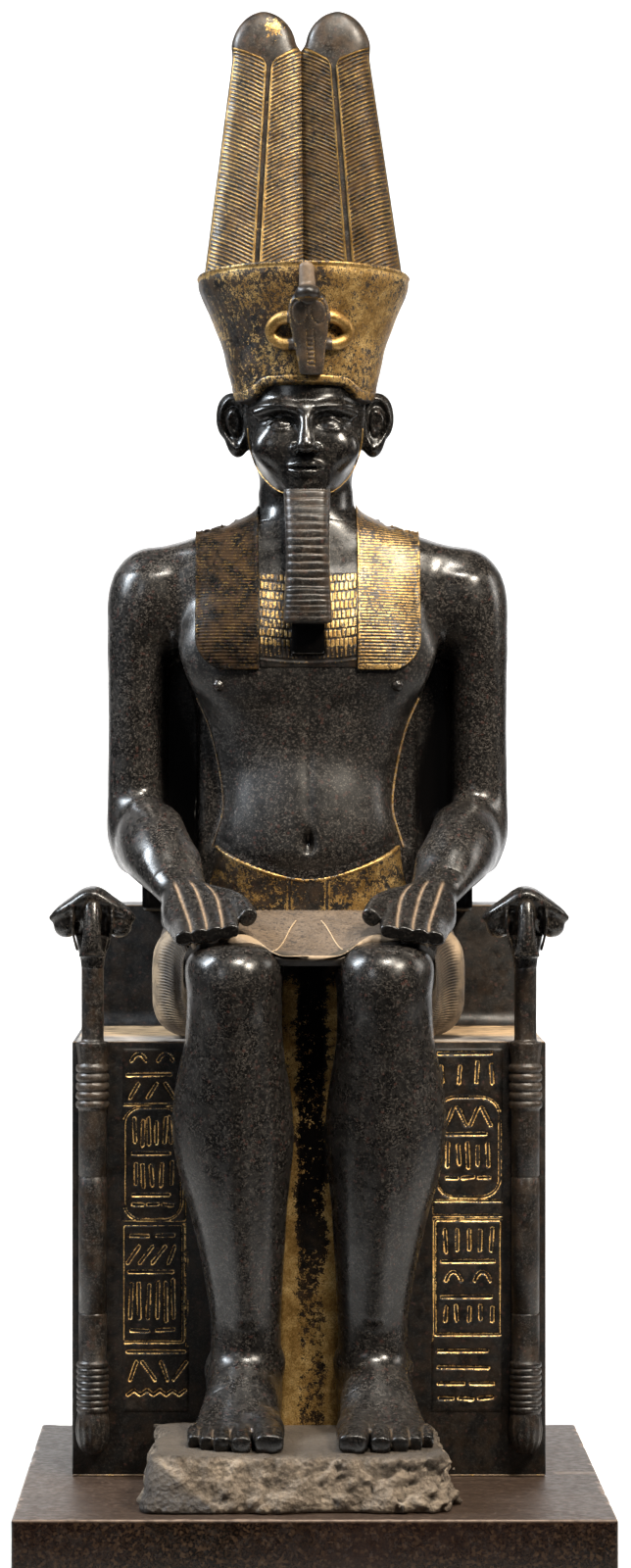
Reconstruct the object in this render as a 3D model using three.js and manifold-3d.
// Seated god of the double plume: a carved granodiorite statue on its granite plinth.
// Millimetres, +Z up, the figure faces -Y. Origin: centre of the plinth's underside.
import * as THREE from 'three';
import { mergeVertices } from 'three/addons/utils/BufferGeometryUtils.js';
import Module from 'manifold-3d';

const wasm = await Module();
wasm.setup();

// ------------------------------------------------------------------ driving dimensions
const PLINTH = { width: 775, depth: 875, height: 120, edge: 5 };
const REST_GAP = 0.3;             // air left between statue and plinth
const AXIS_X = -4;                // the figure's axis, left of the plinth's centre
const LEAN = 0.010;               // sideways lean of everything above the shoulders
const LEAN_FROM = 1250;           // height where that lean starts

const THRONE = { halfWidth: 320, front: -66, back: 432, seat: 587, backrestFront: 282,
                 backrestTop: 760, cove: 24, border: 10 };
const PANEL = { halfWidth: 40, front: -104, top: 690 };     // stone left between the legs
const BLOCK = { left: 222, right: 186, front: -398, back: -50, height: 75 };
const PILLAR = { halfWidth: 52, topHalfWidth: 42, front: 166, back: 292, topBack: 246, top: 1892 };
const WEB = { inner: 100, outer: 246, front: 184, back: 232, bottom: 740, top: 1216 };

const SHOULDER = { x: 219, y: 170, z: 1190, rx: 60, ry: 66, rz: 74 };
const ELBOW = { x: 244, y: 158, z: 858, half: 40, tall: 58 };
const WRIST = { x: 171, y: -25, z: 786 };
const KNUCKLE = { x: 139, y: -112, z: 751 };
const FINGER = { radius: 10.2, length: 84, drop: 14, step: 20 };
const KNEE = { x: 100, y: -150, z: 640 };
const ANKLE = { x: 85, y: -122, z: 206 };
const FOOT = { x: 96, heel: -62, ball: -290, halfWidth: 61 };
const TOE_TIPS = [-364, -359, -349, -337, -322];             // big toe to little toe
const TOE_RADII = [21.5, 12, 11, 10.5, 10];

const CROWN = { y: 160, tilt: 0.075, edge: 1486, brim: 1640, brimRadius: 147, capRadius: 101 };
const PLUME = { base: 1636, baseHalf: 142, taper: 0.1395, round: 1970, top: 2014,
                depthBase: 36, depthTop: 22, y: 164, back: 12 };
const STAFF = { x: 292, y: -76, shaft: 19, stem: 15, foot: 36, collar: 499, cap: 559,
                top: 700, bandLow: 90, bandHigh: 156 };
const RAM = { low: 690, high: 797, halfWidth: 50, depth: 38 };

// ------------------------------------------------------------------ helpers
const V = (x, y, z) => new THREE.Vector3(x, y, z);
const power = (c, n) => Math.sign(c) * Math.pow(Math.abs(c), 2 / n);

// a closed body through rings of equally many points, with a fan on each end
function skin(rings) {
  const n = rings[0].length, pos = [], idx = [];
  for (const ring of rings) for (const p of ring) pos.push(p.x, p.y, p.z);
  for (let i = 0; i + 1 < rings.length; i++) {
    for (let j = 0; j < n; j++) {
      const a = i * n + j, b = i * n + (j + 1) % n;
      idx.push(a, b, b + n, a, b + n, a + n);
    }
  }
  for (const [ring, at, flip] of [[rings[0], 0, true], [rings.at(-1), (rings.length - 1) * n, false]]) {
    const c = ring.reduce((s, p) => s.add(p), V(0, 0, 0)).divideScalar(n);
    const k = pos.length / 3;
    pos.push(c.x, c.y, c.z);
    for (let j = 0; j < n; j++) {
      const a = at + j, b = at + (j + 1) % n;
      flip ? idx.push(b, a, k) : idx.push(a, b, k);
    }
  }
  const g = new THREE.BufferGeometry();
  g.setAttribute('position', new THREE.Float32BufferAttribute(pos, 3));
  g.setIndex(idx);
  return g;
}

function signedVolume(p, t) {
  let v = 0;
  for (let i = 0; i < t.length; i += 3) {
    const [a, b, c] = [t[i] * 3, t[i + 1] * 3, t[i + 2] * 3];
    v += p[a] * (p[b + 1] * p[c + 2] - p[b + 2] * p[c + 1])
       - p[a + 1] * (p[b] * p[c + 2] - p[b + 2] * p[c])
       + p[a + 2] * (p[b] * p[c + 1] - p[b + 1] * p[c]);
  }
  return v / 6;
}

function solid(geometry) {
  const g = geometry.index ? geometry.clone() : geometry.clone();
  g.deleteAttribute('normal');
  g.deleteAttribute('uv');
  const m = mergeVertices(g, 1e-3);
  const p = Float32Array.from(m.attributes.position.array);
  const t = Uint32Array.from(m.index.array);
  if (signedVolume(p, t) < 0) for (let i = 0; i < t.length; i += 3) [t[i], t[i + 1]] = [t[i + 1], t[i]];
  return new wasm.Manifold(new wasm.Mesh({ numProp: 3, vertProperties: p, triVerts: t }));
}

// smooth values between named stations: each station is an array, the first entry is the parameter
function smooth(stations, u) {
  const n = stations.length;
  if (u <= stations[0][0]) return stations[0].slice();
  if (u >= stations[n - 1][0]) return stations[n - 1].slice();
  let i = 0;
  while (u > stations[i + 1][0]) i++;
  const a = stations[i], b = stations[i + 1];
  const before = stations[Math.max(0, i - 1)], after = stations[Math.min(n - 1, i + 2)];
  const h = b[0] - a[0], t = (u - a[0]) / h;
  return a.map((_, k) => {
    if (k === 0) return u;
    const s = (b[k] - a[k]) / h;
    const s0 = i > 0 ? (a[k] - before[k]) / (a[0] - before[0]) : s;
    const s1 = i + 2 < n ? (after[k] - b[k]) / (after[0] - b[0]) : s;
    const m0 = s0 * s <= 0 ? 0 : (s0 + s) / 2, m1 = s1 * s <= 0 ? 0 : (s1 + s) / 2;
    const t2 = t * t, t3 = t2 * t;
    return (2 * t3 - 3 * t2 + 1) * a[k] + (t3 - 2 * t2 + t) * h * m0
         + (3 * t2 - 2 * t3) * b[k] + (t3 - t2) * h * m1;
  });
}

// horizontal sections: stations [z, half width, front, back, exponent, x, y]
function upright(stations, heights, segments) {
  return skin(heights.map((z) => {
    const [, a, front, back, n, cx, cy] = smooth(stations, z);
    return Array.from({ length: segments }, (_, j) => {
      const q = (j + 0.5) / segments * 2 * Math.PI;
      const s = power(Math.sin(q), n);
      return V(cx + a * power(Math.cos(q), n), cy + s * (s > 0 ? back : front), z);
    });
  }));
}

// sections square to a path: stations [x, y, z, half width, half height, exponent]; round ends
function limb(stations, steps, segments, ends = [0.6, 0.6]) {
  const path = new THREE.CatmullRomCurve3(stations.map((s) => V(s[0], s[1], s[2])), false, 'centripetal');
  const table = stations.map((s, i) => [i / (stations.length - 1), s[3], s[4], s[5]]);
  const ring = (u, scale, slide) => {
    const c = path.getPoint(u), t = path.getTangent(u);
    const side = V(0, 0, 1).cross(t);
    if (side.length() < 0.3) side.set(1, 0, 0);
    side.addScaledVector(t, -side.dot(t)).normalize();
    const up = t.clone().cross(side);
    const [, a, b, n] = smooth(table, u);
    c.addScaledVector(t, slide * Math.min(a, b));
    return Array.from({ length: segments }, (_, j) => {
      const q = (j + 0.5) / segments * 2 * Math.PI;
      return c.clone().addScaledVector(side, scale * a * power(Math.cos(q), n))
        .addScaledVector(up, scale * b * power(Math.sin(q), n));
    });
  };
  const rings = [];
  if (ends[0]) rings.push(ring(0, 0.5, -ends[0] * 0.87), ring(0, 0.87, -ends[0] * 0.5));
  for (let i = 0; i <= steps; i++) rings.push(ring(i / steps, 1, 0));
  if (ends[1]) rings.push(ring(1, 0.87, ends[1] * 0.5), ring(1, 0.5, ends[1] * 0.87));
  return skin(rings);
}

const range = (from, to, count) => Array.from({ length: count + 1 }, (_, i) => from + (to - from) * i / count);
const block = (x0, x1, y0, y1, z0, z1) =>
  new THREE.BoxGeometry(x1 - x0, y1 - y0, z1 - z0).translate((x0 + x1) / 2, (y0 + y1) / 2, (z0 + z1) / 2);
function ball(x, y, z, rx, ry, rz, around = 16, up = 10) {
  return new THREE.SphereGeometry(1, around, up).rotateX(Math.PI / 2).scale(rx, ry, rz).translate(x, y, z);
}
const turned = (profile, x, y, segments = 16) =>
  new THREE.LatheGeometry(profile.map(([r, z]) => new THREE.Vector2(r, z)), segments)
    .rotateX(Math.PI / 2).translate(x, y, 0);
const mirrored = (make) => [make(-1), make(1)];
const leanTo = (z) => -LEAN * Math.max(0, z - LEAN_FROM);

// ------------------------------------------------------------------ throne
const parts = [];

// side outline of seat, cove and backrest, drawn as (depth, height)
const outline = new THREE.Shape();
outline.moveTo(THRONE.front, 0);
outline.lineTo(THRONE.back, 0);
outline.lineTo(THRONE.back, THRONE.backrestTop - 8);
outline.lineTo(THRONE.back - 8, THRONE.backrestTop);
outline.lineTo(THRONE.backrestFront + 7, THRONE.backrestTop);
outline.lineTo(THRONE.backrestFront, THRONE.backrestTop - 7);
outline.lineTo(THRONE.backrestFront, THRONE.seat + THRONE.cove);
outline.absarc(THRONE.backrestFront - THRONE.cove, THRONE.seat + THRONE.cove, THRONE.cove, 0, -Math.PI / 2, true);
outline.lineTo(THRONE.front + 4, THRONE.seat);
outline.lineTo(THRONE.front, THRONE.seat - 4);
const seat = new THREE.ExtrudeGeometry(outline, { depth: 2 * THRONE.halfWidth, bevelEnabled: false, curveSegments: 4 });
// shape x -> depth (y), shape y -> height (z), extrusion -> width (x)
seat.applyMatrix4(new THREE.Matrix4().makeBasis(V(0, 1, 0), V(0, 0, 1), V(1, 0, 0)));
seat.translate(-THRONE.halfWidth, 0, 0);
parts.push(seat);
parts.push(block(-PANEL.halfWidth - 46, PANEL.halfWidth + 46, PANEL.front, THRONE.front + 20, 40, PANEL.top));
parts.push(skin([[640, PILLAR.halfWidth, PILLAR.back], [THRONE.backrestTop, PILLAR.halfWidth, PILLAR.back],
  [PILLAR.top - 14, PILLAR.topHalfWidth, PILLAR.topBack], [PILLAR.top, PILLAR.topHalfWidth, PILLAR.topBack - 12]].map(
  ([z, w, y]) => [V(-w + leanTo(z), PILLAR.front, z), V(w + leanTo(z), PILLAR.front, z), V(w + leanTo(z), y, z), V(-w + leanTo(z), y, z)])));
for (const s of [-1, 1]) {
  parts.push(block(Math.min(s * WEB.inner, s * WEB.outer), Math.max(s * WEB.inner, s * WEB.outer),
    WEB.front, WEB.back, WEB.bottom, WEB.top));
}

// shallow framed panels cut into the throne's two sides
const cuts = [];
for (const s of [-1, 1]) {
  const x0 = s * (THRONE.halfWidth - 5), x1 = s * (THRONE.halfWidth + 20);
  const lo = Math.min(x0, x1), hi = Math.max(x0, x1);
  cuts.push(block(lo, hi, THRONE.front + 28, THRONE.back - 190, 60, THRONE.seat - 34));
  cuts.push(block(lo, hi, THRONE.back - 172, THRONE.back - 28, 60, 60 + 200));
  cuts.push(block(lo, hi, THRONE.back - 172, THRONE.back - 28, 280, THRONE.seat - 34));
}

// ------------------------------------------------------------------ rough block under the feet
{
  const levels = [[0, 0], [14, 1], [44, 5], [62, 10], [BLOCK.height, 24]];
  const count = 22;
  parts.push(skin(levels.map(([z, inset], k) => Array.from({ length: count }, (_, j) => {
    const q = (j + 0.5) / count * 2 * Math.PI, n = 7;
    const halfX = (BLOCK.left + BLOCK.right) / 2 - inset, halfY = (BLOCK.back - BLOCK.front) / 2 - inset;
    const rough = 4 * Math.sin(3.1 * j + 1.7 * k) + 3 * Math.sin(5.3 * j + 0.9 * k + 2);
    return V((BLOCK.right - BLOCK.left) / 2 + (halfX - 6 + rough) * power(Math.cos(q), n),
             (BLOCK.front + BLOCK.back) / 2 + (halfY - 6 + rough) * power(Math.sin(q), n), z);
  }))));
}

// ------------------------------------------------------------------ torso, neck and head
const TORSO = [
  // z, half width, front, back, exponent, x, y
  [640, 182, 112, 84, 2.6, 0, 192], [740, 168, 112, 86, 2.6, 0, 186], [803, 146, 112, 93, 2.5, 0, 176],
  [850, 135, 109, 95, 2.4, 0, 172], [905, 126, 100, 95, 2.4, 0, 170], [980, 138, 102, 97, 2.4, 0, 170],
  [1050, 158, 115, 99, 2.4, 0, 170], [1092, 170, 120, 99, 2.4, 0, 170], [1150, 184, 116, 99, 2.4, 0, 170],
  [1210, 204, 98, 97, 2.3, 0, 170], [1245, 216, 84, 88, 2.3, 0, 170], [1262, 208, 76, 80, 2.2, 0, 169],
  [1279, 168, 70, 74, 2.1, 0, 168], [1295, 116, 66, 70, 2, 0, 167], [1313, 74, 63, 68, 2, 0, 165],
  [1345, 65, 60, 74, 2, 0, 162], [1400, 62, 58, 80, 2, 0, 160],
];
parts.push(upright(TORSO, [640, 780, 845, 905, 970, 1035, 1092, 1155, 1215, 1247, 1266, 1283, 1299, 1318, 1400], 16));

const HEAD = [
  [1330, 34, 72, 50, 2, -1, 160], [1337, 46, 90, 62, 2, -1, 160], [1348, 55, 99, 72, 2.1, -1, 160],
  [1368, 66, 102, 84, 2.1, -1, 160], [1392, 75, 102, 96, 2.2, -1, 160], [1420, 80, 101, 106, 2.2, -2, 160],
  [1450, 83, 104, 112, 2.2, -2, 160], [1480, 85, 102, 114, 2.2, -2, 160], [1530, 82, 96, 110, 2.2, -2, 160],
];
parts.push(upright(HEAD, [1330, 1337, 1350, 1372, 1400, 1435, 1478, 1530], 16));
parts.push(limb([[-2, 64, 1452, 9, 12, 2], [-2, 52, 1420, 11, 14, 2], [-2, 40, 1396, 17, 13, 2]], 3, 8));   // nose
for (const s of [-1, 1]) {
  parts.push(limb([[s * 86 - 2, 150, 1452, 13, 12, 2], [s * 97 - 2, 160, 1430, 16, 15, 2],
    [s * 86 - 2, 150, 1396, 9, 10, 2]], 2, 6));                                                   // ear
}
// divine beard, ribbed across, and the stone that joins it to the chest
parts.push(limb([[-1, 66, 1336, 31, 22, 3], [0, 44, 1290, 31, 22, 3], [0, 30, 1225, 29, 21, 3],
  [0, 26, 1164, 28, 20, 3]], 4, 10, [0, 0]));
parts.push(block(-24, 24, 40, 110, 1112, 1330));

// ------------------------------------------------------------------ crown, uraeus and plumes
{
  const H = CROWN.brim - CROWN.edge;
  const flare = [[0, 0], [0.16, 0.13], [0.36, 0.28], [0.5, 0.45], [0.66, 0.66], [0.8, 0.87], [0.9, 1.0], [1, 0.985]];
  const count = 20;
  const rings = [[0.02, -0.32], ...flare].map(([u, f], k) => Array.from({ length: count }, (_, j) => {
    const q = (j + 0.5) / count * 2 * Math.PI;
    const r = CROWN.capRadius + (CROWN.brimRadius - CROWN.capRadius) * f;
    const x = r * Math.cos(q), y = (r + 10 * (1 - Math.max(0, f))) * Math.sin(q);
    const z = CROWN.edge + H * u - CROWN.tilt * (y + (k < 2 ? 20 : 0));
    return V(x + leanTo(z), CROWN.y + y, z);
  }));
  parts.push(skin(rings));
  parts.push(limb([[-3, 50, 1490, 17, 9, 2], [-3, 34, 1530, 24, 10, 2], [-3, 20, 1572, 27, 11, 2],
    [-3, 6, 1600, 21, 14, 2], [-3, -10, 1614, 14, 12, 2]], 7, 10));
  parts.push(limb([[-3, 8, 1604, 10, 10, 2], [-3, 14, 1636, 10, 10, 2]], 2, 8));
}
for (const s of [-1, 1]) {
  // one tall feather: straight taper, then an arched tip
  const half = (z) => (PLUME.baseHalf - (z - PLUME.base) * PLUME.taper) / 2;
  const tipHeight = PLUME.top - PLUME.round;
  const levels = [...range(PLUME.base - 8, PLUME.round - 12, 3), ...range(0, 1, 4).slice(1).map((t) =>
    PLUME.round - 12 + (tipHeight + 12) * Math.sin(t * Math.PI / 2 * 0.985))];
  parts.push(skin(levels.map((z) => {
    const t = Math.max(0, (z - PLUME.round + 12) / (tipHeight + 12));
    const w = half(z), closed = Math.sqrt(Math.max(0.004, 1 - Math.pow(t, 2.4)));
    const u = (z - PLUME.base) / (PLUME.top - PLUME.base);
    const d = (PLUME.depthBase + (PLUME.depthTop - PLUME.depthBase) * u) * (0.35 + 0.65 * closed);
    const apart = 5 * THREE.MathUtils.smoothstep(z, 1930, 1975) + 8 * t * t;
    const cx = s * (w - 5 + apart) + leanTo(z) - 2, cy = PLUME.y + PLUME.back * u;
    return Array.from({ length: 12 }, (_, j) => {
      const q = (j + 0.5) / 12 * 2 * Math.PI;
      return V(cx + (w - 0.55 * apart + 2.5) * closed * power(Math.cos(q), 3), cy + d * power(Math.sin(q), 2.4), z);
    });
  })));
}

// ------------------------------------------------------------------ arms and hands
for (const s of [-1, 1]) {
  parts.push(ball(s * SHOULDER.x, SHOULDER.y, SHOULDER.z, SHOULDER.rx, SHOULDER.ry, SHOULDER.rz, 12, 6));
  parts.push(upright([
    [ELBOW.z - ELBOW.tall, 27, 28, 30, 2, s * (ELBOW.x - 4), ELBOW.y], [ELBOW.z, 36, 44, 50, 2.2, s * ELBOW.x, ELBOW.y + 6],
    [980, 35, 47, 46, 2.2, s * 244, 172], [1080, 37, 52, 50, 2.2, s * 242, 172],
    [1150, 43, 58, 56, 2.2, s * 235, 171], [1230, 44, 56, 56, 2.2, s * 214, 170],
  ], [ELBOW.z - ELBOW.tall, ELBOW.z - 40, ELBOW.z, 960, 1060, 1130, 1230], 12));
  parts.push(limb([
    [s * (ELBOW.x - 7), ELBOW.y, ELBOW.z, ELBOW.half - 2, ELBOW.tall, 2.1], [s * 213, 92, 849, 50, 54, 2.1],
    [s * 193, 28, 822, 46, 42, 2.1], [s * WRIST.x, WRIST.y, WRIST.z, 35, 26, 2.2],
    [s * 152, -72, 767, 41, 21, 2.4], [s * KNUCKLE.x, KNUCKLE.y, KNUCKLE.z, 42, 14, 2.6],
  ], 7, 10, [0.6, 0.3]));
  for (let f = 0; f < 4; f++) {
    // little finger outside, index finger inside
    const x = s * (KNUCKLE.x + 30 - FINGER.step * f), reach = FINGER.length - [6, 2, 0, 2][f];
    parts.push(limb([
      [x, KNUCKLE.y + 12, KNUCKLE.z, 10, 12, 2.6],
      [x - s * 1, KNUCKLE.y - reach, KNUCKLE.z - FINGER.drop, 9.8, 9.5, 2.6]], 1, 6, [0, 0.2]));
  }
  parts.push(limb([[s * 128, -46, 772, 17, 16, 2], [s * 102, -92, 768, 14, 14, 2],
    [s * 84, -148, 754, 12, 11.5, 2]], 3, 8, [0.5, 0.8]));
  // stone left under the forearm
  parts.push(limb([[s * 214, 150, 770, 30, 70, 3], [s * 200, 60, 765, 34, 55, 3], [s * 168, -20, 745, 30, 26, 3]], 3, 8, [0, 0]));
}

// ------------------------------------------------------------------ kilt over the lap
const KILT = [
  // depth y, half width, top, bottom
  [300, 186, 756, 575], [250, 196, 770, 575], [170, 206, 779, 575], [90, 209, 762, 577], [20, 208, 752, 580], [-66, 201, 743, 584],
  [-120, 190, 737, 620], [-170, 178, 731, 655], [-196, 170, 727, 690],
];
parts.push(skin([300, 250, 150, 50, -66, -120, -160, -196].map((y) => {
  const rows = KILT.map((r) => [-r[0], ...r.slice(1)]);
  const [, a, top, bottom] = smooth(rows, -y);
  const count = 20;
  return Array.from({ length: count }, (_, j) => {
    const q = (j + 0.5) / count * 2 * Math.PI;
    const c = power(Math.cos(q), 4.2), t = power(Math.sin(q), 4.2);
    const valley = 16 * Math.exp(-Math.pow(c * a / 36, 2)) * (t > 0 ? 1 : 0) * THREE.MathUtils.smoothstep(-y, -60, 160);
    return V(c * a, y, (top + bottom) / 2 + t * (top - bottom) / 2 - valley);
  });
})));

// ------------------------------------------------------------------ legs and feet
for (const s of [-1, 1]) {
  const LEG = [
    // z, half width, front, back, exponent, x, y
    [84, 50, 52, 62, 2.2, s * 88, -122], [130, 47, 50, 60, 2.2, s * 86, -122], [ANKLE.z, 47.5, 48, 58, 2.2, s * ANKLE.x, ANKLE.y],
    [300, 56, 55, 66, 2.1, s * 90, -128], [400, 70, 66, 74, 2.1, s * 98, -134], [476, 76, 74, 78, 2.1, s * 101, -138],
    [560, 69, 78, 84, 2.1, s * 101, -144], [KNEE.z, 64, 82, 88, 2.2, s * KNEE.x, KNEE.y], [684, 66, 84, 90, 2.3, s * 100, -150],
    [708, 60, 74, 86, 2.3, s * 100, -150], [721, 44, 56, 70, 2.3, s * 100, -150],
  ];
  parts.push(upright(LEG, [84, 150, 206, 285, 370, 440, 510, 590, 660, 692, 710, 721], 12));
  // foot: from the heel to the ball, then five toes
  const sole = BLOCK.height - 4;
  const FOOTLINE = [
    // y along the foot, half width, height above the sole, x
    [62, 44, 92, 86], [120, 46, 104, 87], [180, 50, 86, 90], [230, 56, 62, 94], [275, 61, 45, FOOT.x],
    [305, 62, 36, FOOT.x + 1], [322, 58, 30, FOOT.x - 1],
  ];
  parts.push(skin([62, 150, 205, 255, 295, 318].map((d) => {
    const [, a, h, cx] = smooth(FOOTLINE, d);
    return Array.from({ length: 12 }, (_, j) => {
      const q = (j + 0.5) / 12 * 2 * Math.PI;
      const c = power(Math.cos(q), 2.6), t = Math.sin(q);
      return V(s * (cx + c * a), -d, sole + h / 2 + power(t, 2.6) * h / 2 - (t > 0 ? c * 0.10 * h : 0));
    });
  })));
  let x = FOOT.x - FOOT.halfWidth - 1;
  TOE_RADII.forEach((r, k) => {
    const base = -300 + k * 4;
    parts.push(limb([
      [s * (x + r), base, sole + r * 0.9 + 5, r * 1.02, r * (k ? 1.1 : 0.82), 2.2],
      [s * (x + r - (k ? 1 : 0)), (base + TOE_TIPS[k]) / 2, sole + r * 0.8 + 4, r, r * (k ? 1.0 : 0.75), 2.2],
      [s * (x + r - (k ? 2 : 1)), TOE_TIPS[k] + r * 0.8, sole + r * 0.7 + 2, r * 0.95, r * (k ? 0.95 : 0.7), 2.2],
    ], 1, k ? 6 : 8, [0, 0.85]));
    x += 2 * r - 2;
  });
}

// ------------------------------------------------------------------ the two standards
for (const s of [-1, 1]) {
  const x = s * STAFF.x;
  const profile = [[0, STAFF.foot - 6], [10, STAFF.foot - 4], [19, STAFF.foot + 10], [24, STAFF.foot + 30],
    [21, STAFF.bandLow], [21, STAFF.bandHigh], [STAFF.shaft - 2, STAFF.bandHigh + 2]];
  profile.push([STAFF.shaft, STAFF.collar], [STAFF.shaft + 2, STAFF.collar + 2], [STAFF.shaft + 2, STAFF.cap],
    [STAFF.shaft + 4, THRONE.seat - 3], [STAFF.stem, THRONE.seat + 2], [STAFF.stem, STAFF.top], [0, STAFF.top]);
  parts.push(turned(profile, x, STAFF.y, 10));
  // ram's head: hood, muzzle, horns and the outer ear
  parts.push(upright([
    [RAM.low, 18, 18, 18, 2, x, STAFF.y], [RAM.low + 22, 22, 22, 22, 2, x, STAFF.y], [RAM.low + 44, 40, 30, 30, 2, x, STAFF.y],
    [RAM.low + 70, RAM.halfWidth - 2, RAM.depth, 34, 2.1, x, STAFF.y], [RAM.low + 92, 42, 33, 30, 2.1, x, STAFF.y],
    [RAM.high, 16, 14, 14, 2, x, STAFF.y],
  ], [RAM.low, RAM.low + 20, RAM.low + 36, RAM.low + 52, RAM.low + 72, RAM.low + 90, RAM.high], 10));
  parts.push(limb([[x, STAFF.y - 20, RAM.low + 86, 13, 14, 2.2], [x, STAFF.y - 46, RAM.low + 62, 12, 13, 2.2],
    [x, STAFF.y - 58, RAM.low + 34, 11, 11, 2.2]], 3, 8));
  parts.push(limb([[x + s * 34, STAFF.y - 8, RAM.low + 78, 14, 14, 2], [x + s * 50, STAFF.y - 6, RAM.low + 62, 5, 7, 2]], 2, 8));
}

// ------------------------------------------------------------------ join everything
let statueSolid = solid(parts[0]);
for (const part of parts.slice(1)) statueSolid = statueSolid.add(solid(part));
for (const cut of cuts) statueSolid = statueSolid.subtract(solid(cut));

// slivers left by touching faces are dropped: the statue is one body
statueSolid = statueSolid.decompose().sort((a, b) => b.volume() - a.volume())[0];

function toGeometry(manifold) {
  const mesh = manifold.getMesh();
  const g = new THREE.BufferGeometry();
  g.setAttribute('position', new THREE.Float32BufferAttribute(Array.from(mesh.vertProperties), 3));
  g.setIndex(Array.from(mesh.triVerts));
  g.computeVertexNormals();
  return g;
}

// plinth: a rectangular slab with narrow chamfers on every edge
const slabRing = (z, inset) => {
  const w = PLINTH.width / 2 - inset, d = PLINTH.depth / 2 - inset, c = PLINTH.edge;
  return [[-w + c, -d], [w - c, -d], [w, -d + c], [w, d - c], [w - c, d], [-w + c, d], [-w, d - c], [-w, -d + c]]
    .map(([x, y]) => V(x, y, z));
};
const slab = skin([slabRing(0, 3), slabRing(3, 0), slabRing(PLINTH.height - 3, 0), slabRing(PLINTH.height, 3)]);

const stone = new THREE.MeshStandardMaterial({ color: 0x1d1b1e, roughness: 0.42, metalness: 0.0 });
const granite = new THREE.MeshStandardMaterial({ color: 0x3a2622, roughness: 0.3, metalness: 0.0 });

const statue = new THREE.Mesh(toGeometry(statueSolid), stone);
statue.name = 'statue';
statue.position.set(AXIS_X, 0, PLINTH.height + REST_GAP);

const plinth = new THREE.Mesh(toGeometry(solid(slab)), granite);
plinth.name = 'plinth';

const group = new THREE.Group();
group.add(statue, plinth);
export default group;
